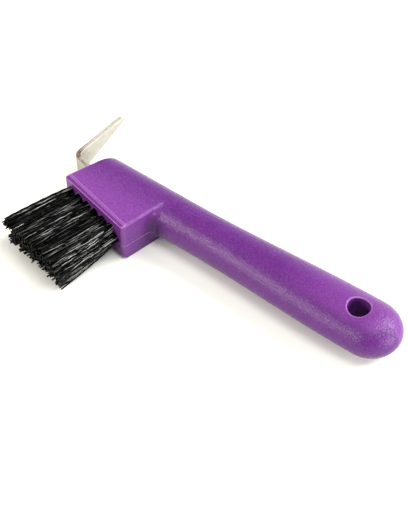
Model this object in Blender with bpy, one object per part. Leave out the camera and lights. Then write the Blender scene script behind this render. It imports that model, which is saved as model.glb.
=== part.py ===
"""Hoof pick with a tufted brush, lying on its side.

A moulded handle runs along +X from a flat head to a round end with a hanging hole.  The head
carries a bent, tapered steel pick on the +Y side and eighteen bristle tufts on the -Y side.
Plan positions are millimetres from the handle centre-line, with x = 0 near the pick end; the
lower face is at z = 0.  A parent empty shifts the whole tool to the middle of its rest area.
"""
import math

import bmesh
import bpy
from mathutils import Matrix, Vector

MM = 0.001

# Handle bar: an oval bar whose half-width grows from the neck towards the round end.
THICKNESS = 21.0
MID_Z = THICKNESS / 2.0
NECK_X = 52.0
NECK_HALF_WIDTH = 10.15
HEAD_BACK_HALF_WIDTH = 10.6
SWELL_X = 138.0
SWELL_HALF_WIDTH = 13.6
END_CENTRE_X = 142.2
END_X = 156.6
END_THINNING = 0.2
PARTING_LAND = 0.1
BAR_START_X = 42.0
HEAD_STATIONS = (-12.0, 0.0, 12.0, 24.0, 34.0)
RIDGE_ANGLE = math.radians(86.0)
LEVEL_ANGLES = tuple(math.radians(a) for a in (0, 13, 26, 39, 51, 61, 69, 76, 81, 86))

# Head: a flat slab turned a few degrees from the handle.
FACE_ANGLE = math.radians(-12.6)
FACE_CORNER = Vector((32.0, -25.6))
FACE_LENGTH = 41.4
OVERRUN = 12.0
CORNER_RADIUS = 2.0
THROAT_RADIUS = 3.0
FRONT_EDGE_RADIUS = 0.5
UPPER_EDGE_RADIUS = 1.3
LOWER_EDGE_RADIUS = 0.4
END_FACE_POINT = Vector((-4.74, -6.0))
END_FACE_ANGLE = math.radians(71.0)
END_FACE_ROUNDING = 0.9
BEVEL_DROP = 0.95
BEVEL_INSET_WIDE = 2.1
BEVEL_INSET_NARROW = 1.9

# Hanging hole through the round end.
HOLE_X = 136.3
HOLE_Y = -0.2
HOLE_RADIUS = 4.9
HOLE_ROUNDING = 0.5

# Pick: flat steel strip, bent on edge of the head, tapering to a blunt tip.
STRIP_THICKNESS = 2.5
STRIP_WIDTH = 12.0
TIP_WIDTH = 2.9
STRIP_CHAMFER = 0.35
BEND_CORNER = Vector((-16.23, 0.24))
TANG_ANGLE = math.radians(165.0)
BLADE_ANGLE = math.radians(94.5)
BEND_RADIUS = 3.5
TANG_LENGTH = 37.5
BLADE_LENGTH = 35.6
SLOT_GAP = 0.3

# Brush: three staggered rows of six tufts, each folded over a wire anchor in a blind hole.
TUFTS_PER_ROW = 6
TUFT_PITCH = 5.7
FIRST_TUFT = 4.5
ROW_RISE = 4.3
ROW_RISE_TIP = 6.2
ROWS = (("upper", 1, 0.0), ("middle", 0, TUFT_PITCH / 2.0), ("lower", -1, 0.0))
HOLE_DEPTH = 9.0
TUFT_HOLE_RADIUS = 2.2
TUFT_ROOT_RADIUS = 1.85
TUFT_TIP_RADIUS = 2.75
TUFT_BASE_DEPTH = 8.6
TUFT_LENGTH = 33.6
LENGTH_ROW_STEP = 1.2
LENGTH_FALL = 0.045
FAN_START = -0.8
FAN_GROWTH = 0.075
ANCHOR_LENGTH = 3.5
ANCHOR_THICKNESS = 0.45
ANCHOR_HEIGHT = 1.6
ANCHOR_DEPTH = 6.6
ANCHOR_GAP = 0.3

ALONG = Vector((math.cos(FACE_ANGLE), math.sin(FACE_ANGLE)))
OUTWARD = Vector((math.sin(FACE_ANGLE), -math.cos(FACE_ANGLE)))


def clear_scene():
    for item in list(bpy.data.objects):
        bpy.data.objects.remove(item, do_unlink=True)


def make_collection(name):
    group = bpy.data.collections.new(name)
    bpy.context.scene.collection.children.link(group)
    return group


def make_material(name, colour, roughness, metallic):
    material = bpy.data.materials.new(name)
    material.use_nodes = True
    shader = material.node_tree.nodes["Principled BSDF"]
    shader.inputs["Base Color"].default_value = (*colour, 1.0)
    shader.inputs["Roughness"].default_value = roughness
    shader.inputs["Metallic"].default_value = metallic
    material.diffuse_color = (*colour, 1.0)
    return material


def make_object(bm, name, group, smooth_angle=30.0):
    bmesh.ops.recalc_face_normals(bm, faces=bm.faces[:])
    bmesh.ops.scale(bm, vec=(MM, MM, MM), verts=bm.verts[:])
    mesh = bpy.data.meshes.new(name)
    bm.to_mesh(mesh)
    bm.free()
    mesh.shade_smooth()
    mesh.set_sharp_from_angle(angle=math.radians(smooth_angle))
    item = bpy.data.objects.new(name, mesh)
    group.objects.link(item)
    return item


def make_cutter(bm, name, group):
    item = make_object(bm, name, group)
    item.hide_render = True
    item.display_type = "WIRE"
    return item


def cut(item, cutters):
    """Subtract the cutters for good, so the object is left with no live modifier."""
    for cutter in cutters:
        modifier = item.modifiers.new("cut", "BOOLEAN")
        modifier.operation = "DIFFERENCE"
        modifier.solver = "EXACT"
        modifier.object = cutter
        bpy.context.view_layer.update()
        graph = bpy.context.evaluated_depsgraph_get()
        mesh = bpy.data.meshes.new_from_object(item.evaluated_get(graph))
        item.modifiers.clear()
        item.data = mesh


def loft(bm, rings):
    """Join closed rings of equal length end to end and close both ends."""
    loops = [[bm.verts.new(point) for point in ring] for ring in rings]
    for lower, upper in zip(loops, loops[1:]):
        for i in range(len(lower)):
            j = (i + 1) % len(lower)
            bm.faces.new((lower[i], lower[j], upper[j], upper[i]))
    bm.faces.new(loops[0][::-1])
    bm.faces.new(loops[-1])


def ease(value):
    value = min(max(value, 0.0), 1.0)
    return value * value * (3.0 - 2.0 * value)


def bar_half_width(x):
    swell = ease((x - NECK_X) / (SWELL_X - NECK_X))
    head = ease((NECK_X - x) / NECK_X)
    grow = (SWELL_HALF_WIDTH - NECK_HALF_WIDTH) * swell
    return NECK_HALF_WIDTH + grow + (HEAD_BACK_HALF_WIDTH - NECK_HALF_WIDTH) * head


def bar_half_thickness(x):
    return MID_Z - END_THINNING * ease((x - NECK_X) / (END_X - NECK_X))


def edge_inset(drop, radius):
    """How far a rounded edge has drawn in at a given drop below the flat."""
    if drop >= radius:
        return 0.0
    rise = radius - drop
    return radius - math.sqrt(radius * radius - rise * rise)


def bar_stations():
    count = 14
    return [BAR_START_X + (END_CENTRE_X - BAR_START_X) * i / count for i in range(count + 1)]


def round_end_outline(shrink):
    width = bar_half_width(END_CENTRE_X) * shrink
    reach = (END_X - END_CENTRE_X) * shrink
    points = []
    for i in range(1, 14):
        angle = math.pi / 2.0 - math.pi * i / 14
        points.append((END_CENTRE_X + reach * math.cos(angle), width * math.sin(angle)))
    return points


def throat_outline(half_width, inset):
    """Concave fillet from the side of the bar into the side face of the head."""
    side_reach = FACE_CORNER.dot(ALONG) - inset
    centre_y = -(half_width + THROAT_RADIUS)
    centre_x = (side_reach + THROAT_RADIUS - centre_y * ALONG.y) / ALONG.x
    turn = math.pi / 2.0 + FACE_ANGLE
    points = []
    for i in range(8):
        angle = math.pi / 2.0 + turn * i / 7
        points.append((centre_x + THROAT_RADIUS * math.cos(angle),
                       centre_y + THROAT_RADIUS * math.sin(angle)))
    return points


def head_outline(drop, side_radius):
    """Rounded corner and the long bristle face, run on past the pick end."""
    points = []
    centre = FACE_CORNER - CORNER_RADIUS * (ALONG + OUTWARD)
    for i in range(7):
        blend = i / 6
        angle = FACE_ANGLE - math.pi / 2.0 * blend
        radius = side_radius + (FRONT_EDGE_RADIUS - side_radius) * blend
        reach = CORNER_RADIUS - edge_inset(drop, radius)
        points.append((centre.x + reach * math.cos(angle), centre.y + reach * math.sin(angle)))
    front_inset = edge_inset(drop, FRONT_EDGE_RADIUS)
    for distance in (12.0, 24.0, 36.0, FACE_LENGTH + OVERRUN):
        point = FACE_CORNER - ALONG * distance - OUTWARD * front_inset
        points.append((point.x, point.y))
    return points


def level_outline(angle, side_radius):
    """Plan section of the body at one level, from its middle (0) towards its flat."""
    shrink = math.cos(angle)
    drop = MID_Z * (1.0 - math.sin(angle) / math.sin(RIDGE_ANGLE))
    back = [(x, bar_half_width(x) * shrink) for x in HEAD_STATIONS + tuple(bar_stations())]
    front = [(x, -bar_half_width(x) * shrink) for x in reversed(bar_stations())]
    inset = edge_inset(drop, side_radius)
    throat = throat_outline(bar_half_width(BAR_START_X) * shrink, inset)
    return back + round_end_outline(shrink) + front + throat + head_outline(drop, side_radius)


def close_flat(bm, ring):
    """Close the top or bottom: a strip of quads along the ridge, then the flat of the head."""
    first = len(HEAD_STATIONS)
    span = 2 * len(bar_stations()) + len(round_end_outline(1.0))
    for i in range(span // 2):
        near = first + i
        far = first + span - 1 - i
        corners = [ring[near], ring[near + 1], ring[far - 1], ring[far]]
        bm.faces.new(list(dict.fromkeys(corners)))
    bm.faces.new(ring[:first + 1] + ring[first + span - 1:])


def body_shell():
    """Oval bar and flat head as one skin, built from plan sections stacked up and down."""
    bm = bmesh.new()
    stacks = []
    for sign, side_radius in ((-1.0, LOWER_EDGE_RADIUS), (1.0, UPPER_EDGE_RADIUS)):
        rings = []
        for angle in LEVEL_ANGLES:
            lift = math.sin(angle) / math.sin(RIDGE_ANGLE)
            ring = []
            for x, y in level_outline(angle, side_radius):
                height = max(bar_half_thickness(x) * lift, PARTING_LAND)
                ring.append(bm.verts.new((x, y, MID_Z + sign * height)))
            rings.append(ring)
        close_flat(bm, rings[-1])
        stacks.append(rings)
    stack = stacks[0][::-1] + stacks[1]
    count = len(stack[0])
    for ring, above in zip(stack, stack[1:]):
        for i in range(count):
            j = (i + 1) % count
            bm.faces.new((ring[i], ring[j], above[j], above[i]))
    return bm


def slice_off(bm, point, normal):
    """Cut away everything on the side the normal points to and close the cut; returns its face."""
    geometry = bm.verts[:] + bm.edges[:] + bm.faces[:]
    result = bmesh.ops.bisect_plane(bm, geom=geometry, plane_co=point, plane_no=normal,
                                    dist=0.0001, clear_outer=True)
    rim = [piece for piece in result["geom_cut"] if isinstance(piece, bmesh.types.BMEdge)]
    return bmesh.ops.contextual_create(bm, geom=rim)["faces"][0]


def round_end_face(bm, face):
    bmesh.ops.bevel(bm, geom=face.edges[:], offset=END_FACE_ROUNDING, offset_type="OFFSET",
                    segments=3, profile=0.5, affect="EDGES", clamp_overlap=True)


def front_bevel_plane(sign):
    """Sloping cut along the bristle face, widest at the pick end."""
    start = FACE_CORNER - ALONG * FACE_LENGTH
    surface = MID_Z + sign * MID_Z
    wide = start - OUTWARD * BEVEL_INSET_WIDE
    narrow = FACE_CORNER - OUTWARD * BEVEL_INSET_NARROW
    first = Vector((wide.x, wide.y, surface))
    second = Vector((narrow.x, narrow.y, surface))
    third = Vector((start.x, start.y, surface - sign * BEVEL_DROP))
    normal = (second - first).cross(third - first).normalized()
    if normal.z * sign < 0.0:
        normal = -normal
    return first, normal


def tuft_sites():
    """Name, distance along the bristle face and row of every tuft."""
    start = FACE_CORNER - ALONG * FACE_LENGTH
    sites = []
    for row_name, row, shift in ROWS:
        for i in range(TUFTS_PER_ROW):
            along = FIRST_TUFT + shift + TUFT_PITCH * i
            spot = start + ALONG * along
            mouth = Vector((spot.x, spot.y, MID_Z + row * ROW_RISE))
            sites.append((f"{row_name}_{i + 1}", along, row, mouth))
    return sites


def face_rotation():
    """Turns local +Z to point straight out of the bristle face, local +X along it."""
    return Matrix.Rotation(FACE_ANGLE, 4, "Z") @ Matrix.Rotation(math.pi / 2.0, 4, "X")


def tuft_hole_cutter(group):
    bm = bmesh.new()
    length = HOLE_DEPTH + 3.0
    for _, _, _, mouth in tuft_sites():
        lift = Matrix.Translation((0.0, 0.0, length / 2.0 - HOLE_DEPTH))
        place = Matrix.Translation(mouth) @ face_rotation() @ lift
        bmesh.ops.create_cone(bm, cap_ends=True, segments=18, radius1=TUFT_HOLE_RADIUS,
                              radius2=TUFT_HOLE_RADIUS, depth=length, matrix=place)
    return make_cutter(bm, "cutter_tuft_holes", group)


def tang_slot_cutter(group):
    bm = bmesh.new()
    length = TANG_LENGTH + SLOT_GAP
    direction = Vector((math.cos(TANG_ANGLE), math.sin(TANG_ANGLE)))
    centre = BEND_CORNER - direction * length / 2.0
    size = (length, STRIP_THICKNESS + 2.0 * SLOT_GAP, STRIP_WIDTH + 2.0 * SLOT_GAP)
    place = (Matrix.Translation((centre.x, centre.y, MID_Z))
             @ Matrix.Rotation(TANG_ANGLE, 4, "Z") @ Matrix.Diagonal((*size, 1.0)))
    bmesh.ops.create_cube(bm, size=1.0, matrix=place)
    return make_cutter(bm, "cutter_tang_slot", group)


def hanging_hole_cutter(group):
    bm = bmesh.new()
    place = Matrix.Translation((HOLE_X, HOLE_Y, MID_Z))
    bmesh.ops.create_cone(bm, cap_ends=True, segments=36, radius1=HOLE_RADIUS,
                          radius2=HOLE_RADIUS, depth=THICKNESS + 6.0, matrix=place)
    return make_cutter(bm, "cutter_hanging_hole", group)


def round_hole_rims(item):
    """Ease both mouths of the hanging hole."""
    bm = bmesh.new()
    bm.from_mesh(item.data)
    axis = Vector((HOLE_X, HOLE_Y)) * MM
    rim = []
    for edge in bm.edges:
        radii = [(vert.co.xy - axis).length / MM for vert in edge.verts]
        rise = abs(edge.verts[0].co.z - edge.verts[1].co.z) / MM
        if max(abs(radius - HOLE_RADIUS) for radius in radii) < 0.01 and rise < 3.0:
            rim.append(edge)
    bmesh.ops.bevel(bm, geom=rim, offset=HOLE_ROUNDING * MM, offset_type="OFFSET",
                    segments=2, profile=0.5, affect="EDGES", clamp_overlap=True)
    bm.to_mesh(item.data)
    bm.free()


def build_handle_body(group, cutters, material):
    bm = body_shell()
    end_normal = Vector((-math.sin(END_FACE_ANGLE), math.cos(END_FACE_ANGLE), 0.0))
    end_face = slice_off(bm, END_FACE_POINT.to_3d(), end_normal)
    round_end_face(bm, end_face)
    for sign in (1.0, -1.0):
        point, normal = front_bevel_plane(sign)
        slice_off(bm, point, normal)
    item = make_object(bm, "handle_body", group)
    cut(item, [hanging_hole_cutter(cutters)])
    round_hole_rims(item)
    cut(item, [tang_slot_cutter(cutters), tuft_hole_cutter(cutters)])
    item.data.name = "handle_body"
    item.data.materials.clear()
    item.data.materials.append(material)
    item.data.set_sharp_from_angle(angle=math.radians(30.0))
    return item


def pick_path():
    """Centre-line of the bent strip as (point, side direction, distance beyond the bend)."""
    tang = Vector((math.cos(TANG_ANGLE), math.sin(TANG_ANGLE)))
    blade = Vector((math.cos(BLADE_ANGLE), math.sin(BLADE_ANGLE)))
    turn = TANG_ANGLE - BLADE_ANGLE
    tangent = BEND_RADIUS * math.tan(turn / 2.0)
    arc_start = BEND_CORNER - tang * tangent
    side = Vector((-tang.y, tang.x))
    centre = arc_start - side * BEND_RADIUS
    path = [(BEND_CORNER - tang * TANG_LENGTH, side, 0.0)]
    for i in range(9):
        angle = TANG_ANGLE + math.pi / 2.0 - turn * i / 8
        normal = Vector((math.cos(angle), math.sin(angle)))
        path.append((centre + normal * BEND_RADIUS, normal, 0.0))
    arc_end = BEND_CORNER + blade * tangent
    span = BLADE_LENGTH - tangent
    for i in range(1, 7):
        distance = (span - TIP_WIDTH / 2.0) * i / 6
        path.append((arc_end + blade * distance, Vector((-blade.y, blade.x)), distance))
    for i in range(1, 5):
        distance = span - TIP_WIDTH / 2.0 * (1.0 - math.sin(math.pi / 2.0 * i / 4.4))
        path.append((arc_end + blade * distance, Vector((-blade.y, blade.x)), distance))
    return path, span


def strip_width(distance, span):
    body = span - TIP_WIDTH / 2.0
    width = STRIP_WIDTH + (TIP_WIDTH - STRIP_WIDTH) * min(distance / body, 1.0)
    if distance > body:
        reach = min((distance - body) / (TIP_WIDTH / 2.0), 1.0)
        width *= math.sqrt(max(1.0 - reach * reach, 0.0))
    return width


def build_pick(group, material):
    path, span = pick_path()
    rings = []
    for point, side, distance in path:
        half_width = strip_width(distance, span) / 2.0
        half_thick = STRIP_THICKNESS / 2.0
        chamfer = min(STRIP_CHAMFER, half_width * 0.45)
        profile = ((half_thick, half_width - chamfer), (half_thick - chamfer, half_width),
                   (chamfer - half_thick, half_width), (-half_thick, half_width - chamfer))
        corners = list(profile) + [(-u, -v) for u, v in profile]
        ring = []
        for u, v in corners:
            spot = point + side * u
            ring.append((spot.x, spot.y, MID_Z + v))
        rings.append(ring)
    bm = bmesh.new()
    loft(bm, rings)
    item = make_object(bm, "pick", group, smooth_angle=25.0)
    item.data.materials.append(material)
    return item


def tuft_sections(along, row):
    """Rings of a tuft from its folded base to its splayed, slightly domed tip."""
    drift_x = FAN_START + FAN_GROWTH * along
    drift_y = row * (ROW_RISE_TIP - ROW_RISE)
    length = TUFT_LENGTH + LENGTH_ROW_STEP * row - LENGTH_FALL * along
    length += 0.3 * math.sin(2.3 * along + 1.7 * row)
    sections = [(-TUFT_BASE_DEPTH, 1.2), (-TUFT_BASE_DEPTH + 0.6, TUFT_ROOT_RADIUS),
                (-TUFT_BASE_DEPTH + 3.6, TUFT_ROOT_RADIUS), (0.3, TUFT_ROOT_RADIUS)]
    for part in (0.1, 0.55, 0.97, 1.0):
        spread = TUFT_ROOT_RADIUS + (TUFT_TIP_RADIUS - TUFT_ROOT_RADIUS) * part ** 0.5
        sections.append((length * part, spread if part < 1.0 else spread - 0.9))
    rings = []
    for height, radius in sections:
        part = max(height, 0.0) / length
        ring = []
        for i in range(12):
            angle = 2.0 * math.pi * i / 12
            x = drift_x * part + radius * math.cos(angle)
            y = drift_y * part + radius * math.sin(angle)
            ring.append((x, y, height))
        rings.append(ring)
    return rings


def anchor_eye_cutter(group):
    """Cross hole left in a tuft where its filaments fold round the anchor."""
    bm = bmesh.new()
    size = (3.0 * TUFT_ROOT_RADIUS, ANCHOR_THICKNESS + 2.0 * ANCHOR_GAP,
            ANCHOR_HEIGHT + 2.0 * ANCHOR_GAP)
    place = Matrix.Translation((0.0, 0.0, -ANCHOR_DEPTH)) @ Matrix.Diagonal((*size, 1.0))
    bmesh.ops.create_cube(bm, size=1.0, matrix=place)
    return make_cutter(bm, "cutter_anchor_eye", group)


def build_tufts(group, cutters, material):
    eye = anchor_eye_cutter(cutters)
    tufts = []
    for label, along, row, mouth in tuft_sites():
        bm = bmesh.new()
        loft(bm, tuft_sections(along, row))
        item = make_object(bm, f"tuft_{label}", group, smooth_angle=50.0)
        cut(item, [eye])
        item.data.name = item.name
        item.data.materials.clear()
        item.data.materials.append(material)
        item.location = mouth * MM
        item.rotation_euler = face_rotation().to_euler()
        tufts.append(item)
    return tufts


def build_anchors(group, material):
    bm = bmesh.new()
    size = (ANCHOR_LENGTH, ANCHOR_THICKNESS, ANCHOR_HEIGHT)
    place = Matrix.Translation((0.0, 0.0, -ANCHOR_DEPTH)) @ Matrix.Diagonal((*size, 1.0))
    bmesh.ops.create_cube(bm, size=1.0, matrix=place)
    anchors = []
    shared = None
    for label, _, _, mouth in tuft_sites():
        if shared is None:
            item = make_object(bm, f"anchor_{label}", group)
            item.data.materials.append(material)
            shared = item.data
        else:
            item = bpy.data.objects.new(f"anchor_{label}", shared)
            group.objects.link(item)
        item.location = mouth * MM
        item.rotation_euler = face_rotation().to_euler()
        anchors.append(item)
    return anchors


def centre_on_rest_area(items, group):
    """Parent every part to an empty that puts the middle of the footprint at the origin."""
    bpy.context.view_layer.update()
    spots = [item.matrix_world @ vert.co for item in items for vert in item.data.vertices]
    low = [min(spot[axis] for spot in spots) for axis in range(3)]
    high = [max(spot[axis] for spot in spots) for axis in range(3)]
    origin = bpy.data.objects.new("tool_origin", None)
    group.objects.link(origin)
    origin.location = (-(low[0] + high[0]) / 2.0, -(low[1] + high[1]) / 2.0, -low[2])
    for item in items:
        item.parent = origin


def main():
    clear_scene()
    tool = make_collection("hoof_pick")
    cutters = make_collection("cutters")
    plastic = make_material("purple_plastic", (0.27, 0.065, 0.36), 0.42, 0.0)
    steel = make_material("pick_steel", (0.62, 0.60, 0.56), 0.34, 1.0)
    bristle = make_material("black_bristle", (0.012, 0.012, 0.013), 0.45, 0.0)
    wire = make_material("anchor_wire", (0.55, 0.55, 0.54), 0.4, 1.0)
    items = [build_handle_body(tool, cutters, plastic), build_pick(tool, steel)]
    items += build_tufts(tool, cutters, bristle)
    items += build_anchors(tool, wire)
    centre_on_rest_area(items, tool)


main()
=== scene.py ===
"""Looks for the hoof pick: moulded handle, bent steel pick and crimped bristles, built round the CAD frame.

Design coordinates are millimetres. x runs along the handle from the pick end, y is measured from the
handle's centre-line and z from the surface the tool lies on. SHIFT moves them into the frame.
"""
import math

import bmesh
import bpy
import numpy as np
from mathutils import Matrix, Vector


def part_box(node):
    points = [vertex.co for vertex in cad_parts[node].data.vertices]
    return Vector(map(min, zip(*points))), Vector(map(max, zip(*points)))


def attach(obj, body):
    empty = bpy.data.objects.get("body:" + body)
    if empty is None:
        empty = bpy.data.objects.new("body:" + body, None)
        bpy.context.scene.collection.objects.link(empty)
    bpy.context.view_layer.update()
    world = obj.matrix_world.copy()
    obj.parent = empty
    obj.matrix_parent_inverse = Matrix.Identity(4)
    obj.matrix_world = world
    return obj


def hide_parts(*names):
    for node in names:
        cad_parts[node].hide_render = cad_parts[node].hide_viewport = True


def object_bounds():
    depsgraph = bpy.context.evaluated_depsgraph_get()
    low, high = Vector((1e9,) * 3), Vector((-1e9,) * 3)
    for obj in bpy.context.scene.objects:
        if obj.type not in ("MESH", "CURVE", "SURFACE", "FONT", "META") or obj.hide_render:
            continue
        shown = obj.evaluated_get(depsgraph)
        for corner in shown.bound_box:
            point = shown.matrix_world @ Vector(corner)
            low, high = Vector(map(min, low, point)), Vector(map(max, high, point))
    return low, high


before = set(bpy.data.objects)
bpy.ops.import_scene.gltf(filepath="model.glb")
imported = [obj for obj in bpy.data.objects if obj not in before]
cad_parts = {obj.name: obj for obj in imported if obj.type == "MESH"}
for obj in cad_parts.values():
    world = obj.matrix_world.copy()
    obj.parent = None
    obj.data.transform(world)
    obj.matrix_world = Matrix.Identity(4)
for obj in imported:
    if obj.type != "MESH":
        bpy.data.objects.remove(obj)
CAD_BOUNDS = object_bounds()
MM = 0.001
RNG = np.random.default_rng(7)

# Handle: an oval bar that swells towards its round end
THICKNESS = 21.0
MID_Z = THICKNESS / 2.0
NECK_X = 52.0
NECK_HALF_WIDTH = 10.15
HEAD_BACK_HALF_WIDTH = 10.6
SWELL_X = 138.0
SWELL_HALF_WIDTH = 13.6
END_CENTRE_X = 142.2
END_X = 156.6
END_THINNING = 0.2

# Head: a flat slab turned a little from the handle, with the bristles on its long face
FACE_ANGLE = math.radians(-12.6)
FACE_CORNER = np.array((32.0, -25.6))
FACE_LENGTH = 41.4
CORNER_RADIUS = 2.0
THROAT_RADIUS = 3.0
THROAT_FLAT = 3.0
THROAT_FROM, THROAT_TO = -4.5, -1.5
THROAT_X = 38.5
FRONT_EDGE_RADIUS = 0.5
UPPER_EDGE_RADIUS = 1.3
LOWER_EDGE_RADIUS = 0.4
EDGE_CHANGE_FROM, EDGE_CHANGE_TO = -1.0, 1.0
END_FACE_POINT = np.array((-4.74, -6.0))
END_FACE_ANGLE = math.radians(71.0)
END_FACE_ROUNDING = 0.9
BEVEL_DROP = 0.95
BEVEL_INSET_WIDE = 2.1
BEVEL_INSET_NARROW = 1.9
BEVEL_EDGE_ROUNDING = 0.25
PARTING_Z = 8.2
PARTING_HEIGHT = 0.16
PARTING_WIDTH = 0.16
PARTING_END_X = 36.8
PARTING_FADE = 1.5

# Painted light on the moulding: highlights on crisp edges and the rounded corner, paler upward faces, and
# painted shade in the inner corner between head and handle
CRISP_FROM, CRISP_TO = 0.6, 2.2
CORNER_HIGHLIGHT = 0.17
CORNER_HIGHLIGHT_DEPTH = 0.6
EDGE_HIGHLIGHT_AGAIN_FROM, EDGE_HIGHLIGHT_AGAIN_TO = 60.0, 70.0
# painted light on the upward faces of the head and the round end
HEAD_PALE_FROM, HEAD_PALE_TO = 0.0, -14.0
HEAD_PALE_FADE_X, HEAD_PALE_END_X = 38.0, 44.0
HEAD_TOP_FROM, HEAD_TOP_TO = 0.88, 0.98
SIDE_PALENESS = 0.35
END_PALE_FROM, END_PALE_TO = 92.0, 132.0
END_PALENESS = 0.85
END_TOP_FROM, END_TOP_TO = 0.80, 0.98
END_SIDE_FROM, END_SIDE_TO = -0.2, 0.2
# painted shade in the inner corner between head and handle
CORNER_SHADE_TOP_FROM, CORNER_SHADE_TOP_TO = 15.0, 19.5
CORNER_SHADE_WALL_FROM, CORNER_SHADE_WALL_TO = 0.3, 0.7
CORNER_SHADE_CENTRE = np.array((37.8, -11.2))
CORNER_SHADE_REACH = 3.2
# x, y and radius of the two ejector-pin rings
WITNESS_MARKS = ((15.0, -7.8, 2.4), (145.0, 2.0, 2.0))

# Holes in the moulding
HANGING_HOLE = np.array((136.3, -0.2))
HANGING_HOLE_RADIUS = 4.9
HANGING_HOLE_ROUNDING = 0.6
TUFT_HOLE_RADIUS = 2.2
TUFT_HOLE_DEPTH = 9.0
TUFT_HOLE_ROUNDING = 0.2
SLOT_CLEARANCE = 0.15
SLOT_END_CLEARANCE = 0.3
SLOT_ROUNDING = 0.15

# Pick
STRIP_THICKNESS = 2.5
STRIP_WIDTH = 12.0
TIP_WIDTH = 2.9
STRIP_EDGE_RADIUS = 0.4
BEND_CORNER = np.array((-16.23, 0.24))
TANG_ANGLE = math.radians(165.0)
BLADE_ANGLE = math.radians(94.5)
BEND_RADIUS = 3.5
TANG_LENGTH = 37.5
BLADE_LENGTH = 35.6
TANG_STATIONS = (0.0, 0.4, 12.0, 24.0, 30.0)
TANG_RINGS = len(TANG_STATIONS) + 1
BEND_STEPS = 16
BLADE_STEPS = 16
TIP_STEPS = 7
TIP_BLUNTNESS = 7.3
BEND_SCALE_REACH = 4.0
TANG_SCALE_REACH = 3.2
FACE_SCALE = 0.25
BURR = 0.7
BURR_ALONG_BLADE = 0.3
BURR_REACH = 14.0

# Brush: three staggered rows of crimped filaments
TUFTS_PER_ROW = 6
TUFT_PITCH = 5.7
FIRST_TUFT = 4.5
ROW_RISE = 4.3
ROW_RISE_TIP = 6.2
ROWS = (("upper", 1, 0.0), ("middle", 0, TUFT_PITCH / 2.0), ("lower", -1, 0.0))
TUFT_LENGTH = 34.2
LENGTH_ROW_STEP = 1.2
LENGTH_FALL = 0.063
FAN_START = -1.3
FAN_GROWTH = 0.09
FRAYED_EXTRA_LENGTH = 0.8
FRAYED_SPREAD = 0.3
STRANDS_PER_TUFT = 31
STRAND_RADIUS = 0.33
THINNEST, THICKEST = 0.85, 1.08
STRAND_RINGS = 36
STRAND_SIDES = 8
# side of each tube that carries the painted highlight line
RIDGE_ANGLE = math.radians(57.0)
ROOT_DEPTH = 3.0
ROOT_SPREAD = 1.85
TIP_SPREAD = 2.9
TIP_SCATTER = 0.5
LENGTH_SCATTER = 0.6
LONGEST_EXTRA = 1.2
SPREAD_POWER = 0.7
BOW = 0.55
CRIMP = 0.15
CRIMP_LENGTH = 5.2
CRIMP_START = 4.0
GATHER_FROM, GATHER_TO = 4.0, 12.0
GATHERED_WIDTH = 0.78
FRAY_FROM, FRAY_TO = 26.0, 33.0
FLOOR_GAP = 0.05

ALONG = np.array((math.cos(FACE_ANGLE), math.sin(FACE_ANGLE)))
OUTWARD = np.array((math.sin(FACE_ANGLE), -math.cos(FACE_ANGLE)))

_body_low, _body_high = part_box("handle_body")
SHIFT = np.array((_body_high.x / MM - END_X, _body_high.y / MM - SWELL_HALF_WIDTH, _body_low.z / MM))


def place(points):
    """Design millimetres to frame metres."""
    return (np.asarray(points, float) + SHIFT) * MM


def ease(value):
    """Smooth step from 0 to 1."""
    value = np.clip(value, 0.0, 1.0)
    return value * value * (3.0 - 2.0 * value)


def between(value, start, end):
    """Smooth step from 0 at start to 1 at end."""
    return ease((value - start) / (end - start))


def paint(item, name, values):
    """Store one number per vertex for the materials to read."""
    layer = item.data.attributes.new(name, "FLOAT", "POINT")
    layer.data.foreach_set("value", np.asarray(values, dtype=np.float32))


def make_mesh(name, points, faces, normals=None):
    """Smooth-shaded object from design points, with exact normals where they are known."""
    mesh = bpy.data.meshes.new(name)
    mesh.from_pydata([tuple(p) for p in place(points)], [], [tuple(f) for f in faces])
    mesh.shade_smooth()
    if normals is not None:
        mesh.normals_split_custom_set_from_vertices([tuple(n) for n in normals])
    item = bpy.data.objects.new(name, mesh)
    bpy.context.scene.collection.objects.link(item)
    return item


# ---------------------------------------------------------------- moulded handle as a distance field

def bar_half_width(x):
    swell = between(x, NECK_X, SWELL_X)
    head = ease((NECK_X - x) / NECK_X)
    return (NECK_HALF_WIDTH + (SWELL_HALF_WIDTH - NECK_HALF_WIDTH) * swell
            + (HEAD_BACK_HALF_WIDTH - NECK_HALF_WIDTH) * head)


def bar_half_thickness(x):
    return MID_Z - END_THINNING * between(x, NECK_X, END_X)


def round_meet(a, b, radius):
    """Keep what is inside both, with a rounded outer edge."""
    return np.minimum(np.maximum(a, b), -radius) + np.hypot(
        np.maximum(a + radius, 0.0), np.maximum(b + radius, 0.0))


def round_join(a, b, radius):
    """Keep what is inside either, with a filleted inner corner."""
    return np.maximum(np.minimum(a, b), radius) - np.hypot(
        np.maximum(radius - a, 0.0), np.maximum(radius - b, 0.0))


def bar_field(x, y, z):
    """The oval bar, closed by half an ellipsoid at its round end."""
    width = bar_half_width(x)
    height = bar_half_thickness(x)
    reach = END_X - END_CENTRE_X
    u = np.maximum(x - END_CENTRE_X, 0.0) / reach
    v = y / width
    w = z / height
    k0 = np.sqrt(u * u + v * v + w * w)
    k1 = np.sqrt((u / reach) ** 2 + (v / width) ** 2 + (w / height) ** 2)
    return k0 * (k0 - 1.0) / np.maximum(k1, 1e-6)


def front_bevel_plane(sign):
    """Point and normal of the bevel between the bristle face and the head's top or underside."""
    start = FACE_CORNER - ALONG * FACE_LENGTH
    wide = start - OUTWARD * BEVEL_INSET_WIDE
    narrow = FACE_CORNER - OUTWARD * BEVEL_INSET_NARROW
    first = np.array((*wide, sign * MID_Z))
    second = np.array((*narrow, sign * MID_Z))
    third = np.array((*start, sign * (MID_Z - BEVEL_DROP)))
    normal = np.cross(second - first, third - first)
    normal /= np.linalg.norm(normal)
    return first, normal * (sign if normal[2] > 0.0 else -sign)


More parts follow.
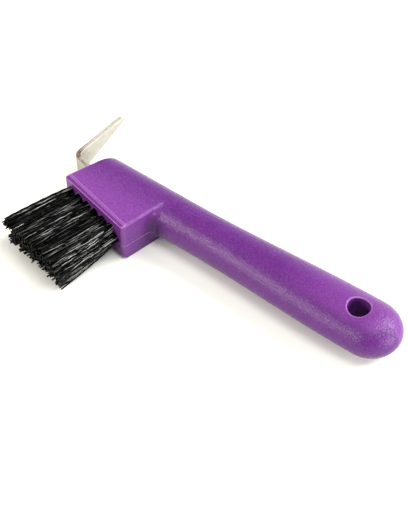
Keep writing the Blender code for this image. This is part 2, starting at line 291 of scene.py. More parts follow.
def tuft_sites():
    """Row name and number, distance along the bristle face, row and mouth of every tuft."""
    start = FACE_CORNER - ALONG * FACE_LENGTH
    for row_name, row, shift in ROWS:
        for i in range(TUFTS_PER_ROW):
            along = FIRST_TUFT + shift + TUFT_PITCH * i
            spot = start + ALONG * along
            yield f"{row_name}_{i + 1}", along, row, np.array((*spot, MID_Z + row * ROW_RISE))


def cut_tuft_holes(field, x, y, z, front):
    """Drills the blind holes, working only on the points near the bristle face."""
    near = np.flatnonzero((front > -TUFT_HOLE_DEPTH - 2.0).ravel())
    shape = field.shape
    field = field.ravel().copy()
    x, y, z = x.ravel()[near], y.ravel()[near], z.ravel()[near]
    kept = field[near]
    for _, _, _, mouth in tuft_sites():
        dx, dy = x - mouth[0], y - mouth[1]
        side = dx * ALONG[0] + dy * ALONG[1]
        out = dx * OUTWARD[0] + dy * OUTWARD[1]
        radial = np.hypot(side, z + MID_Z - mouth[2]) - TUFT_HOLE_RADIUS
        hole = np.maximum(radial, -out - TUFT_HOLE_DEPTH)
        kept = round_meet(kept, -hole, TUFT_HOLE_ROUNDING)
    field[near] = kept
    return field.reshape(shape)


def head_field(x, y, z, front, side):
    """Slab of the head: rounded vertical corner, and edges that are softer round the corner than in front."""
    walls = round_meet(front, side, CORNER_RADIUS)
    edge = np.where(z > 0.0, UPPER_EDGE_RADIUS, LOWER_EDGE_RADIUS)
    turned = between(side - front, EDGE_CHANGE_FROM, EDGE_CHANGE_TO)
    edge = FRONT_EDGE_RADIUS + (edge - FRONT_EDGE_RADIUS) * turned
    return np.maximum(round_meet(walls, np.abs(z) - MID_Z, edge), y)


def cut_end_and_bevels(body, x, y, z):
    end_normal = (-math.sin(END_FACE_ANGLE), math.cos(END_FACE_ANGLE))
    end = (x - END_FACE_POINT[0]) * end_normal[0] + (y - END_FACE_POINT[1]) * end_normal[1]
    body = round_meet(body, end, END_FACE_ROUNDING)
    for sign in (1.0, -1.0):
        point, normal = front_bevel_plane(sign)
        plane = (x - point[0]) * normal[0] + (y - point[1]) * normal[1] + (z - point[2]) * normal[2]
        body = round_meet(body, plane, BEVEL_EDGE_ROUNDING)
    return body


def cut_tang_slot(body, x, y, z):
    tang = np.array((math.cos(TANG_ANGLE), math.sin(TANG_ANGLE)))
    run = (x - BEND_CORNER[0]) * tang[0] + (y - BEND_CORNER[1]) * tang[1]
    across = -(x - BEND_CORNER[0]) * tang[1] + (y - BEND_CORNER[1]) * tang[0]
    slot = np.maximum(np.abs(across) - STRIP_THICKNESS / 2.0 - SLOT_CLEARANCE,
                      np.abs(z) - STRIP_WIDTH / 2.0 - SLOT_CLEARANCE)
    slot = np.maximum(slot, -run - TANG_LENGTH - SLOT_END_CLEARANCE)
    return round_meet(body, -slot, SLOT_ROUNDING)


def body_field(x, y, height):
    """Signed distance, near enough, to the surface of the moulding in design millimetres."""
    z = height - MID_Z
    front = (x - FACE_CORNER[0]) * OUTWARD[0] + (y - FACE_CORNER[1]) * OUTWARD[1]
    side = (x - FACE_CORNER[0]) * ALONG[0] + (y - FACE_CORNER[1]) * ALONG[1]
    throat = THROAT_RADIUS * np.clip((MID_Z - np.abs(z)) / THROAT_FLAT, 0.0, 1.0)
    throat = throat * between(side, THROAT_FROM, THROAT_TO)
    body = round_join(bar_field(x, y, z), head_field(x, y, z, front, side), throat)
    body = cut_end_and_bevels(body, x, y, z)
    on_head = ease((PARTING_END_X - x) / PARTING_FADE)
    ridge = np.exp(-((height - PARTING_Z) / PARTING_WIDTH) ** 2)
    body = body - PARTING_HEIGHT * on_head * ridge
    bore = np.hypot(x - HANGING_HOLE[0], y - HANGING_HOLE[1]) - HANGING_HOLE_RADIUS
    body = round_meet(body, -bore, HANGING_HOLE_ROUNDING)
    body = cut_tang_slot(body, x, y, z)
    return cut_tuft_holes(body, x, y, z, front)


def field_gradient(points, step=0.06):
    columns = []
    for axis in range(3):
        ahead = points.copy()
        behind = points.copy()
        ahead[:, axis] += step
        behind[:, axis] -= step
        columns.append((body_field(*ahead.T) - body_field(*behind.T)) / (2.0 * step))
    return np.stack(columns, 1)


def surface_net(field, axes):
    """Quad mesh of the zero level of a field sampled on a rectangular grid."""
    inside = field < 0.0
    cells = tuple(n - 1 for n in field.shape)
    total = np.zeros((int(np.prod(cells)), 3))
    count = np.zeros(int(np.prod(cells)))
    crossings = []
    for axis in range(3):
        lower = [slice(None)] * 3
        upper = [slice(None)] * 3
        lower[axis] = slice(0, -1)
        upper[axis] = slice(1, None)
        index = np.argwhere(inside[tuple(lower)] != inside[tuple(upper)])
        other = index.copy()
        other[:, axis] += 1
        near = field[tuple(index.T)]
        far = field[tuple(other.T)]
        spot = np.stack([axes[k][index[:, k]] for k in range(3)], 1)
        reach = axes[axis][other[:, axis]] - axes[axis][index[:, axis]]
        spot[:, axis] += reach * near / (near - far)
        across = [k for k in range(3) if k != axis]
        around = []
        for du, dv in ((-1, -1), (0, -1), (0, 0), (-1, 0)):
            cell = index.copy()
            cell[:, across[0]] += du
            cell[:, across[1]] += dv
            flat = np.ravel_multi_index(tuple(cell.T), cells)
            for k in range(3):
                total[:, k] += np.bincount(flat, spot[:, k], len(count))
            count += np.bincount(flat, minlength=len(count))
            around.append(flat)
        quads = np.stack(around, 1)
        flip = inside[tuple(index.T)] == (axis == 1)
        quads[flip] = quads[flip][:, ::-1]
        crossings.append(quads)
    used = np.flatnonzero(count)
    number = np.full(len(count), -1)
    number[used] = np.arange(len(used))
    return total[used] / count[used, None], number[np.concatenate(crossings)]


def relax(points, quads):
    """Even out the net without leaving the surface."""
    edges = np.concatenate([quads[:, [0, 1]], quads[:, [1, 2]], quads[:, [2, 3]], quads[:, [3, 0]]])
    number = len(points)
    degree = np.bincount(edges.ravel(), minlength=number)
    for _ in range(3):
        gather = np.zeros_like(points)
        for k in range(3):
            gather[:, k] += np.bincount(edges[:, 0], points[edges[:, 1], k], number)
            gather[:, k] += np.bincount(edges[:, 1], points[edges[:, 0], k], number)
        points = points + 0.5 * (gather / degree[:, None] - points)
        points = settle(points)
    return points


def settle(points):
    """Move points onto the surface along the field's gradient."""
    for _ in range(2):
        gradient = field_gradient(points)
        size = np.maximum((gradient ** 2).sum(1), 0.2)
        move = (body_field(*points.T) / size)[:, None] * gradient
        points = points - np.clip(move, -0.3, 0.3)
    return points


def edge_highlight_mask(points, step=0.15):
    """Painted highlight: how tightly the surface turns outward at each point, 1 on crisp edges and 0 on broad
    faces, with a fainter band on the rounded vertical corner.
    """
    bend = -6.0 * body_field(*points.T)
    for axis in range(3):
        for side in (-step, step):
            near = points.copy()
            near[:, axis] += side
            bend += body_field(*near.T)
    edges = np.clip((bend / step ** 2 - CRISP_FROM) / (CRISP_TO - CRISP_FROM), 0.0, 1.0)
    front = (points[:, :2] - FACE_CORNER) @ OUTWARD
    side = (points[:, :2] - FACE_CORNER) @ ALONG
    corner = np.minimum(front, side) + CORNER_RADIUS
    past_throat = between(points[:, 0], THROAT_X - 2.0, THROAT_X)
    in_throat = past_throat * (1.0 - between(points[:, 0], EDGE_HIGHLIGHT_AGAIN_FROM, EDGE_HIGHLIGHT_AGAIN_TO))
    corner_highlight = CORNER_HIGHLIGHT * np.clip(corner / CORNER_HIGHLIGHT_DEPTH, 0.0, 1.0)
    return np.maximum(edges * (1.0 - in_throat), corner_highlight)


def painted_top_light(points, normals):
    """Painted light: paler where the surfaces face up, on the head's flat top towards the brush and on the top
    and back of the round end.
    """
    x, y, up = points[:, 0], points[:, 1], normals[:, 2]
    head = np.clip((HEAD_PALE_FROM - y) / (HEAD_PALE_FROM - HEAD_PALE_TO), 0.0, 1.0)
    head = head * between(x, HEAD_PALE_END_X, HEAD_PALE_FADE_X)
    head = head * (SIDE_PALENESS + (1.0 - SIDE_PALENESS) * between(up, HEAD_TOP_FROM, HEAD_TOP_TO))
    upward = np.where(normals[:, 1] > 0.0, 1.0, between(up, END_TOP_FROM, END_TOP_TO))
    upward = upward * between(up, END_SIDE_FROM, END_SIDE_TO)
    end = END_PALENESS * upward * between(x, END_PALE_FROM, END_PALE_TO)
    return np.maximum(head, end)


def painted_corner_shade(points, normals):
    """Painted shade in the inner corner between the head and the handle, below the top face."""
    off = np.hypot(points[:, 0] - CORNER_SHADE_CENTRE[0], points[:, 1] - CORNER_SHADE_CENTRE[1])
    on_wall = 1.0 - between(normals[:, 2], CORNER_SHADE_WALL_FROM, CORNER_SHADE_WALL_TO)
    below_top = 1.0 - between(points[:, 2], CORNER_SHADE_TOP_FROM, CORNER_SHADE_TOP_TO)
    return np.exp(-0.5 * (off / CORNER_SHADE_REACH) ** 2) * on_wall * below_top


def grid_axes():
    """Grid lines, closer together on the head, at the parting line and at the upper and lower edges."""
    pitch = 0.34
    head_pitch = 0.22
    xs = np.concatenate([np.arange(-10.5, 34.0, head_pitch), np.arange(34.0, 158.0, pitch)])
    ys = np.concatenate([np.arange(-28.0, -14.0, head_pitch), np.arange(-14.0, 15.0, pitch)])
    lower_edge = np.arange(-0.6, 1.6, 0.25)
    parting = np.arange(7.4, 9.0, 0.14)
    upper_edge = np.arange(19.2, 21.8, 0.22)
    wall_pitch = 0.48
    zs = [lower_edge, np.arange(1.6, 7.4, wall_pitch), parting, np.arange(9.0, 19.2, wall_pitch), upper_edge]
    return xs, ys, np.concatenate(zs)


def build_handle():
    axes = grid_axes()
    grid = np.meshgrid(*axes, indexing="ij")
    points, quads = surface_net(body_field(*grid), axes)
    points = relax(settle(points), quads)
    normals = field_gradient(points, 0.1)
    normals /= np.linalg.norm(normals, axis=1)[:, None]
    item = make_mesh("moulded_handle", points, quads, normals)
    # painted highlight on crisp edges and the rounded corner
    paint(item, "crisp", edge_highlight_mask(points))
    # painted light on upward faces
    paint(item, "pale", painted_top_light(points, normals))
    # painted shade in the inner corner
    paint(item, "corner_shade", painted_corner_shade(points, normals))
    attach(item, "root")
    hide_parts("handle_body")
    return item


# ---------------------------------------------------------------- steel pick

def pick_path():
    """Centre-line of the strip as (point, side direction, distance past the bend), and the blade's reach."""
    tang = np.array((math.cos(TANG_ANGLE), math.sin(TANG_ANGLE)))
    blade = np.array((math.cos(BLADE_ANGLE), math.sin(BLADE_ANGLE)))
    turn = TANG_ANGLE - BLADE_ANGLE
    tangent = BEND_RADIUS * math.tan(turn / 2.0)
    side = np.array((-tang[1], tang[0]))
    arc_start = BEND_CORNER - tang * tangent
    centre = arc_start - side * BEND_RADIUS
    path = [(BEND_CORNER - tang * (TANG_LENGTH - s), side, 0.0) for s in TANG_STATIONS]
    for i in range(BEND_STEPS + 1):
        angle = TANG_ANGLE + math.pi / 2.0 - turn * i / BEND_STEPS
        normal = np.array((math.cos(angle), math.sin(angle)))
        path.append((centre + normal * BEND_RADIUS, normal, 0.0))
    arc_end = BEND_CORNER + blade * tangent
    span = BLADE_LENGTH - tangent
    side = np.array((-blade[1], blade[0]))
    body = span - TIP_WIDTH / 2.0
    for i in range(1, BLADE_STEPS + 1):
        path.append((arc_end + blade * body * i / BLADE_STEPS, side, body * i / BLADE_STEPS))
    for i in range(1, TIP_STEPS + 1):
        distance = span - TIP_WIDTH / 2.0 * (1.0 - math.sin(math.pi / 2.0 * i / TIP_BLUNTNESS))
        path.append((arc_end + blade * distance, side, distance))
    return path, span


def strip_half_width(distance, span):
    """Half the blade's width: an even taper, then a rounded tip."""
    body = span - TIP_WIDTH / 2.0
    width = STRIP_WIDTH + (TIP_WIDTH - STRIP_WIDTH) * min(distance / body, 1.0)
    if distance > body:
        reach = min((distance - body) / (TIP_WIDTH / 2.0), 1.0)
        width *= math.sqrt(max(1.0 - reach * reach, 0.0))
    return width / 2.0


def rounded_rectangle(half_u, half_v, radius, steps=4):
    """Outline of the strip's cross-section."""
    ring = []
    for quarter in range(4):
        su = 1.0 if quarter in (0, 3) else -1.0
        sv = 1.0 if quarter in (0, 1) else -1.0
        for i in range(steps + 1):
            angle = math.pi / 2.0 * (quarter + i / steps)
            ring.append((su * (half_u - radius) + radius * math.cos(angle),
                         sv * (half_v - radius) + radius * math.sin(angle)))
    return ring


def bend_scale(on_edge, on_burr, distance, in_tang):
    """Brown scale where the strip was bent, and a dark burr line that fades along the blade."""
    from_bend = max(distance, TANG_SCALE_REACH * in_tang)
    near_bend = float(ease(1.0 - from_bend / BEND_SCALE_REACH))
    patch = (FACE_SCALE + (1.0 - FACE_SCALE) * on_edge) * near_bend
    fade = BURR_ALONG_BLADE + (1.0 - BURR_ALONG_BLADE) * float(ease(1.0 - distance / BURR_REACH))
    return max(patch, BURR * on_burr * fade)


def build_pick():
    path, span = pick_path()
    points = []
    faces = []
    sheared = []
    scaled = []
    for k, (centre, side, distance) in enumerate(path):
        half_width = strip_half_width(distance, span)
        radius = min(STRIP_EDGE_RADIUS, half_width * 0.8)
        flat = 0.8 * radius
        for u, v in rounded_rectangle(STRIP_THICKNESS / 2.0, half_width, radius):
            spot = centre + side * u
            points.append((spot[0], spot[1], MID_Z + v))
            on_edge = float(abs(u) < STRIP_THICKNESS / 2.0 - flat)
            on_burr = float(u > 0.0 and abs(v) > half_width - flat)
            sheared.append(on_edge)
            scaled.append(bend_scale(on_edge, on_burr, distance, k < TANG_RINGS))
    count = len(points) // len(path)
    for k in range(len(path) - 1):
        for i in range(count):
            j = (i + 1) % count
            faces.append((k * count + i, (k + 1) * count + i, (k + 1) * count + j, k * count + j))
    faces.append(tuple(range(count)))
    faces.append(tuple(range(len(points) - count, len(points)))[::-1])
    item = make_mesh("steel_pick", points, faces)
    paint(item, "sheared", sheared)
    paint(item, "scaled", scaled)
    tidy_normals(item)
    item.data.set_sharp_from_angle(angle=math.radians(50.0))
    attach(item, "root")
    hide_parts("pick")
    return item


def tidy_normals(item):
    """Turn every face outward."""
    bm = bmesh.new()
    bm.from_mesh(item.data)
    bmesh.ops.recalc_face_normals(bm, faces=bm.faces[:])
    bm.to_mesh(item.data)
    bm.free()


# ---------------------------------------------------------------- bristles

def frayed(along):
    """How loose a tuft is: the ones nearest the handle are splayed and longer."""
    return float(between(along, FRAY_FROM, FRAY_TO))


def gathered(along):
    """How tightly a tuft holds together: the ones at the far end of the rows stay narrow."""
    return GATHERED_WIDTH + (1.0 - GATHERED_WIDTH) * float(between(along, GATHER_FROM, GATHER_TO))


def strand_ends(along, row, turn):
    """Root and tip offsets of each strand in a tuft, spread on a sunflower spiral."""
    index = np.arange(STRANDS_PER_TUFT) + 0.5
    radius = np.sqrt(index / STRANDS_PER_TUFT)
    golden_angle = math.pi * (3.0 - math.sqrt(5.0))
    angle = index * golden_angle + turn
    disc = np.stack([radius * np.cos(angle), radius * np.sin(angle)], 1)
    drift = np.array((FAN_START + FAN_GROWTH * along, row * (ROW_RISE_TIP - ROW_RISE)))
    spread = TIP_SPREAD * gathered(along) * (1.0 + FRAYED_SPREAD * frayed(along))
    scatter = RNG.normal(0.0, TIP_SCATTER * gathered(along), disc.shape)
    return disc * ROOT_SPREAD, disc * spread + drift + scatter


def strand_path(mouth, root, tip, length):
    """One filament from inside its hole to its tip: spreads early, bows slightly and is crimped throughout."""
    depth = np.linspace(-ROOT_DEPTH, length, STRAND_RINGS)
    part = np.clip(depth / length, 0.0, 1.0)
    spread = part ** SPREAD_POWER
    bow = RNG.normal(0.0, BOW, 2)
    crimp = RNG.uniform(0.4, 1.0) * CRIMP * np.clip(depth / CRIMP_START, 0.0, 1.0)
    wave_length = CRIMP_LENGTH * RNG.uniform(0.85, 1.2)
    wave = depth * 2.0 * math.pi / wave_length + RNG.uniform(0.0, 2.0 * math.pi)
    twist = RNG.uniform(0.0, math.pi)
    sideways = root[0] + (tip[0] - root[0]) * spread + bow[0] * np.sin(math.pi * part)
    upward = root[1] + (tip[1] - root[1]) * spread + bow[1] * np.sin(math.pi * part)
    sideways = sideways + crimp * np.sin(wave) * math.cos(twist)
    upward = upward + crimp * np.sin(wave) * math.sin(twist)
    spot = np.empty((len(depth), 3))
    spot[:, 0] = mouth[0] + ALONG[0] * sideways + OUTWARD[0] * depth
    spot[:, 1] = mouth[1] + ALONG[1] * sideways + OUTWARD[1] * depth
    spot[:, 2] = np.clip(mouth[2] + upward, STRAND_RADIUS + FLOOR_GAP, THICKNESS - STRAND_RADIUS)
    return spot


def strand_highlights(sides):
    """Painted highlight along one filament: a thin grey line on the side of the tube turned towards the lights,
    broken along its length and fainter towards the tip.
    """
    ring = np.arange(STRAND_RINGS)
    wave = np.sin(ring * RNG.uniform(0.18, 0.6) + RNG.uniform(0.0, 2.0 * math.pi))
    line = np.clip(0.45 + 0.6 * wave + RNG.normal(0.0, 0.25, STRAND_RINGS), 0.0, 1.0)
    painted_line = np.zeros((STRAND_RINGS, sides))
    fade = 1.0 - 0.7 * between(ring / STRAND_RINGS, 0.72, 0.97)
    painted_line[:, 0] = max(RNG.uniform(-1.0, 1.0), 0.0) ** 0.7 * line * fade
    return painted_line.ravel()


def tube(path, radius, sides):
    """Rings of a tube along a nearly straight path, cut square at the tip."""
    angles = RIDGE_ANGLE + 2.0 * math.pi * np.arange(sides) / sides
    ring = np.outer(np.cos(angles), (ALONG[0], ALONG[1], 0.0)) + np.outer(np.sin(angles), (0.0, 0.0, 1.0))
    points = (path[:, None, :] + radius * ring[None, :, :]).reshape(-1, 3)
    faces = []
    for k in range(len(path) - 1):
        for i in range(sides):
            j = (i + 1) % sides
            faces.append((k * sides + i, k * sides + j, (k + 1) * sides + j, (k + 1) * sides + i))
    last = (len(path) - 1) * sides
    faces.append(tuple(range(sides))[::-1])
    faces.append(tuple(range(last, last + sides)))
    return points, faces


def build_tuft(label, along, row, mouth):
    loose = frayed(along)
    length = TUFT_LENGTH + LENGTH_ROW_STEP * row - LENGTH_FALL * along + FRAYED_EXTRA_LENGTH * loose
    roots, tips = strand_ends(along, row, RNG.uniform(0.0, 2.0 * math.pi))
    points = []
    faces = []
    shades = []
    for root, tip in zip(roots, tips):
        reach = min(length + RNG.normal(0.0, LENGTH_SCATTER), length + LONGEST_EXTRA)
        path = strand_path(mouth, root, tip, reach)
        radius = STRAND_RADIUS * RNG.uniform(THINNEST, THICKEST)
        strand_points, strand_faces = tube(path, radius, STRAND_SIDES)
        base = len(points)
        points.extend(strand_points)
        faces.extend(tuple(base + i for i in face) for face in strand_faces)
        # painted highlight, brighter on the loose tufts
        shades.extend((0.7 + 0.35 * loose) * strand_highlights(STRAND_SIDES))
    item = make_mesh(f"bristles_{label}", points, faces)
    item.data.set_sharp_from_angle(angle=math.radians(70.0))
    # painted highlight for the bristle material
    paint(item, "shade", shades)
    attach(item, "root")
    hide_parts(f"tuft_{label}")
    return item


# ---------------------------------------------------------------- materials

# Colour ramps as (position, linear colour) stops, and single linear colours
WITNESS_WIDTH = 0.8
PURPLE = ((0.3, (0.085, 0.0138, 0.136)), (0.7, (0.100, 0.0176, 0.158)))
# colour of the painted light on upward faces
LIT_TOP_PURPLE = (0.157, 0.036, 0.222)
PIT_PURPLE = (0.038, 0.006, 0.066)
PEAK_PURPLE = (0.22, 0.072, 0.28)
# colour of the painted shade in the inner corner
CORNER_SHADE_PURPLE = (0.026, 0.003, 0.046)
# colour of the painted edge highlight
EDGE_HIGHLIGHT_PURPLE = (0.345, 0.145, 0.405)
FACE_STEEL = ((0.3, (0.325, 0.305, 0.262)), (0.7, (0.405, 0.380, 0.328)))
EDGE_STEEL = ((0.35, (0.36, 0.333, 0.280)), (0.65, (0.48, 0.443, 0.378)))
SCALE_BROWN = ((0.40, (0.030, 0.018, 0.010)), (0.66, (0.30, 0.22, 0.14)))
BLACK = ((0.3, (0.0004, 0.0004, 0.0004)), (0.75, (0.0020, 0.0020, 0.0020)))
# colour of the painted highlight on the bristles
HIGHLIGHT_GREY = ((0.3, (0.34, 0.34, 0.33)), (0.75, (0.68, 0.68, 0.66)))
WIRE_GREY = ((0.3, (0.45, 0.45, 0.44)), (0.7, (0.60, 0.60, 0.58)))
FLOOR_COLOUR = (0.784, 0.797, 0.750, 1.0)


def new_material(name):
    material = bpy.data.materials.new(name)
    material.use_nodes = True
    tree = material.node_tree
    return material, tree, tree.nodes["Principled BSDF"]


def add(tree, kind, **settings):
    node = tree.nodes.new(kind)
    for key, value in settings.items():
        setattr(node, key, value)
    return node


def attribute(tree, name):
    return add(tree, "ShaderNodeAttribute", attribute_name=name).outputs["Fac"]


def noise(tree, coords, scale, detail=2.0, roughness=0.5):
    node = add(tree, "ShaderNodeTexNoise")
    node.inputs["Scale"].default_value = scale
    node.inputs["Detail"].default_value = detail
    node.inputs["Roughness"].default_value = roughness
    tree.links.new(coords, node.inputs["Vector"])
    return node.outputs["Fac"]


def ramp(tree, value, stops):
    node = add(tree, "ShaderNodeValToRGB")
    while len(node.color_ramp.elements) < len(stops):
        node.color_ramp.elements.new(0.5)
    for element, (position, colour) in zip(node.color_ramp.elements, stops):
        element.position = position
        element.color = (*colour, 1.0)
    tree.links.new(value, node.inputs["Fac"])
    return node.outputs["Color"]


def remap(tree, value, low, high, from_low=0.0, from_high=1.0):
    node = add(tree, "ShaderNodeMapRange")
    node.inputs["From Min"].default_value = from_low
    node.inputs["From Max"].default_value = from_high
    node.inputs["To Min"].default_value = low
    node.inputs["To Max"].default_value = high
    tree.links.new(value, node.inputs["Value"])
    return node.outputs["Result"]


def mix(tree, factor, first, second):
    """Blend two colours; the second may be a plain one."""
    node = add(tree, "ShaderNodeMix", data_type="RGBA")
    tree.links.new(factor, node.inputs["Factor"])
    tree.links.new(first, node.inputs[6])
    if isinstance(second, tuple):
        node.inputs[7].default_value = (*second, 1.0)
    else:
        tree.links.new(second, node.inputs[7])
    return node.outputs[2]


def scaled_by(tree, value, factor):
    node = add(tree, "ShaderNodeMath", operation="MULTIPLY")
    tree.links.new(value, node.inputs[0])
    node.inputs[1].default_value = factor
    return node.outputs[0]


def bump(tree, height, distance, strength=1.0, before=None):
    node = add(tree, "ShaderNodeBump")
    node.inputs["Distance"].default_value = distance
    node.inputs["Strength"].default_value = strength
    tree.links.new(height, node.inputs["Height"])
    if before is not None:
        tree.links.new(before, node.inputs["Normal"])
    return node.outputs["Normal"]


def object_coordinates(tree):
    return add(tree, "ShaderNodeTexCoord").outputs["Object"]


def witness_ring(tree, coords, x, y, radius):
    """Height of a faint ejector-pin ring round one spot on the top face."""
    spot = add(tree, "ShaderNodeVectorMath", operation="DISTANCE")
    tree.links.new(coords, spot.inputs[0])
    spot.inputs[1].default_value = tuple(place((x, y, THICKNESS)))
    off = add(tree, "ShaderNodeMath", operation="SUBTRACT")
    tree.links.new(spot.outputs["Value"], off.inputs[0])
    off.inputs[1].default_value = radius * MM
    gap = add(tree, "ShaderNodeMath", operation="ABSOLUTE")
    tree.links.new(off.outputs[0], gap.inputs[0])
    return remap(tree, gap.outputs[0], 0.0, 1.0, 0.0, WITNESS_WIDTH * MM)


def plastic_material():
    """Purple polypropylene: pebbled grain, painted highlights on crisp edges, painted light on upward faces,
    painted shade in the inner corner, faint ejector-pin rings.
    """
    material, tree, shader = new_material("purple_moulded_plastic")
    coords = object_coordinates(tree)
    grain = noise(tree, coords, 1600.0, 2.0, 0.6)
    colour = ramp(tree, noise(tree, coords, 150.0, 4.0, 0.65), PURPLE)
    # painted light: paler where the surfaces face up
    colour = mix(tree, scaled_by(tree, attribute(tree, "pale"), 0.9), colour, LIT_TOP_PURPLE)
    colour = mix(tree, remap(tree, grain, 0.32, 0.0, 0.33, 0.50), colour, PIT_PURPLE)
    colour = mix(tree, remap(tree, grain, 0.0, 0.20, 0.50, 0.67), colour, PEAK_PURPLE)
    # painted shade in the inner corner between head and handle
    colour = mix(tree, scaled_by(tree, attribute(tree, "corner_shade"), 0.7), colour, CORNER_SHADE_PURPLE)
    # painted highlight along crisp edges and the rounded corner
    colour = mix(tree, scaled_by(tree, attribute(tree, "crisp"), 0.7), colour, EDGE_HIGHLIGHT_PURPLE)
    tree.links.new(colour, shader.inputs["Base Color"])
    tree.links.new(remap(tree, noise(tree, coords, 260.0, 3.0), 0.19, 0.26), shader.inputs["Roughness"])
    shader.inputs["Specular IOR Level"].default_value = 0.25
    normal = bump(tree, grain, 0.00028, 0.8)
    for mark in WITNESS_MARKS:
        normal = bump(tree, witness_ring(tree, coords, *mark), 0.0001, 1.0, normal)
    tree.links.new(normal, shader.inputs["Normal"])
    return material


def steel_material():
    """Plated strip: dull pale faces and edges, a dark burr line and brown scale where it was bent."""
    material, tree, shader = new_material("plated_strip_steel")
    coords = object_coordinates(tree)
    cloud = noise(tree, coords, 320.0, 4.0, 0.6)
    speck = noise(tree, coords, 900.0, 3.0, 0.6)
    plain = mix(tree, attribute(tree, "sheared"), ramp(tree, cloud, FACE_STEEL), ramp(tree, speck, EDGE_STEEL))
    colour = mix(tree, attribute(tree, "scaled"), plain, ramp(tree, speck, SCALE_BROWN))
    tree.links.new(colour, shader.inputs["Base Color"])
    shader.inputs["Metallic"].default_value = 0.25
    tree.links.new(remap(tree, cloud, 0.38, 0.55), shader.inputs["Roughness"])
    tree.links.new(bump(tree, speck, 0.00004, 0.5), shader.inputs["Normal"])
    return material


def bristle_material():
    """Black filament with a painted highlight: grey dashes along each strand's lit side."""
    material, tree, shader = new_material("black_filament")
    coords = object_coordinates(tree)
    streak = noise(tree, coords, 500.0, 2.0)
    shade = attribute(tree, "shade")
    # painted highlight mixed into the black
    colour = mix(tree, shade, ramp(tree, streak, BLACK), ramp(tree, streak, HIGHLIGHT_GREY))
    tree.links.new(colour, shader.inputs["Base Color"])
    shader.inputs["Specular IOR Level"].default_value = 0.05
    tree.links.new(remap(tree, shade, 0.24, 0.20), shader.inputs["Roughness"])
    tree.links.new(bump(tree, noise(tree, coords, 2600.0, 1.0), 0.00003, 0.4), shader.inputs["Normal"])
    return material


def wire_material():
    """Bright drawn wire for the anchors in the tuft holes."""
    material, tree, shader = new_material("flat_anchor_wire")
    cloud = noise(tree, object_coordinates(tree), 900.0, 3.0)
    tree.links.new(ramp(tree, cloud, WIRE_GREY), shader.inputs["Base Color"])
    shader.inputs["Metallic"].default_value = 1.0
    tree.links.new(remap(tree, cloud, 0.3, 0.5), shader.inputs["Roughness"])
    tree.links.new(bump(tree, cloud, 0.00002, 0.4), shader.inputs["Normal"])
    return material


def dress(items, material):
    for item in items:
        item.data.materials.clear()
        item.data.materials.append(material)


# ---------------------------------------------------------------- camera, floor and light

VIEW_AZIMUTH = math.radians(-53.0)
VIEW_ELEVATION = math.radians(49.5)
VIEW_DISTANCE = 575.0
VIEW_TARGET = (59.73, -3.97, 0.0)
LENS = 90.35
FLOOR_HALF_SIZE = 3.0
FLOOR_DROP = 0.00005


def direction(azimuth, elevation):
    """Unit vector at an angle round from +X and an angle up from the floor."""
    flat = math.cos(elevation)
    return Vector((math.cos(azimuth) * flat, math.sin(azimuth) * flat, math.sin(elevation)))


def aim(item, target):
    """Point a camera or light at a spot."""
    item.rotation_euler = (Vector(target) - item.location).to_track_quat("-Z", "Y").to_euler()


def build_camera():
    data = bpy.data.cameras.new("camera")
    data.sensor_fit = "AUTO"
    data.sensor_width = 36.0
    data.lens = LENS
    data.clip_start = 0.01
    data.clip_end = 20.0
    camera = bpy.data.objects.new("camera", data)
    bpy.context.scene.collection.objects.link(camera)
    target = Vector(place(VIEW_TARGET))
    camera.location = target + direction(VIEW_AZIMUTH, VIEW_ELEVATION) * VIEW_DISTANCE * MM
    aim(camera, target)
    bpy.context.scene.camera = camera
    return target


def build_floor():
    mesh = bpy.data.meshes.new("floor")
    low = float(CAD_BOUNDS[0][2]) - FLOOR_DROP
    half = FLOOR_HALF_SIZE
    mesh.from_pydata([(-half, -half, low), (half, -half, low), (half, half, low), (-half, half, low)],
                     [], [(0, 1, 2, 3)])
    floor = bpy.data.objects.new("floor", mesh)
    bpy.context.scene.collection.objects.link(floor)
    material, _, shader = new_material("pale_floor")
    shader.inputs["Base Color"].default_value = FLOOR_COLOUR
    shader.inputs["Roughness"].default_value = 0.9
    shader.inputs["Specular IOR Level"].default_value = 0.1
    mesh.materials.append(material)


PANEL_DISTANCE = 1.2
# azimuth, elevation, width and height in metres, share of the floor's brightness, colour
PANELS = {
    "back_panel": (112.0, 20.0, 1.40, 0.70, 0.06, (1.0, 1.0, 1.0)),
    "front_strip": (243.0, 23.0, 0.66, 0.34, 0.31, (1.0, 0.93, 0.86)),
    "left_panel": (165.0, 20.0, 0.90, 0.50, 0.10, (1.0, 0.99, 0.98)),
    "right_panel": (8.0, 12.0, 0.90, 0.40, 0.17, (1.0, 1.0, 1.0)),
    "high_front_panel": (275.0, 62.0, 1.30, 1.10, 0.20, (1.0, 0.98, 0.96)),
}
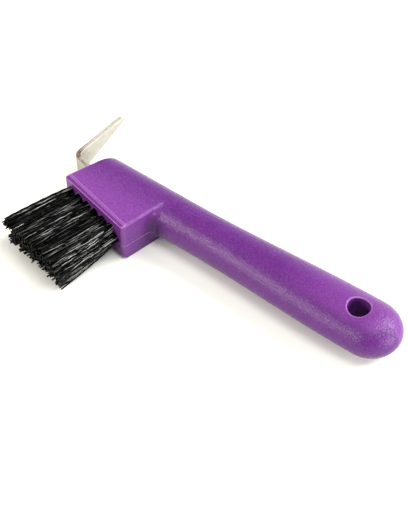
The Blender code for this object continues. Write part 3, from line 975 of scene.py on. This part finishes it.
# azimuth, elevation, angular width, share of the floor's brightness, colour
FAR_LIGHTS = {
    "overhead_light": (5.0, 66.0, 24.0, 0.36, (1.0, 0.99, 0.98)),
    "key_light": (52.0, 36.0, 34.0, 0.60, (1.0, 1.0, 1.0)),
}
WORLD_SHARE = 0.18
# what all the shares are multiplied by, so that the floor comes out white
LIGHT_LEVEL = 1.18


def light_from(name, kind, target, azimuth, elevation, colour):
    data = bpy.data.lights.new(name, kind)
    data.color = colour
    item = bpy.data.objects.new(name, data)
    bpy.context.scene.collection.objects.link(item)
    item.location = target + direction(math.radians(azimuth), math.radians(elevation)) * PANEL_DISTANCE
    aim(item, target)
    return data


def panel(name, target, azimuth, elevation, width, height, share, colour):
    """Soft box; its power follows from the brightness it gives a white floor."""
    data = light_from(name, "AREA", target, azimuth, elevation, colour)
    data.shape = "RECTANGLE"
    data.size, data.size_y = width, height
    data.energy = LIGHT_LEVEL * share * (math.pi * PANEL_DISTANCE) ** 2 / math.sin(math.radians(elevation))


def far_light(name, target, azimuth, elevation, spread, share, colour):
    """Large distant light, even over the whole floor."""
    data = light_from(name, "SUN", target, azimuth, elevation, colour)
    data.angle = math.radians(spread)
    data.energy = LIGHT_LEVEL * share * math.pi / math.sin(math.radians(elevation))


def build_light(target):
    world = bpy.data.worlds.new("studio")
    world.use_nodes = True
    background = world.node_tree.nodes["Background"]
    background.inputs["Color"].default_value = (1.0, 1.0, 1.0, 1.0)
    background.inputs["Strength"].default_value = WORLD_SHARE * LIGHT_LEVEL
    bpy.context.scene.world = world
    for name, settings in PANELS.items():
        panel(name, target, *settings)
    for name, settings in FAR_LIGHTS.items():
        far_light(name, target, *settings)
    bpy.context.scene.view_settings.view_transform = "Standard"


def main():
    target = build_camera()
    build_floor()
    build_light(target)
    dress([build_handle()], plastic_material())
    dress([build_pick()], steel_material())
    dress([build_tuft(*site) for site in tuft_sites()], bristle_material())
    anchors = [item for name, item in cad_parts.items() if name.startswith("anchor_")]
    dress(anchors, wire_material())


main()
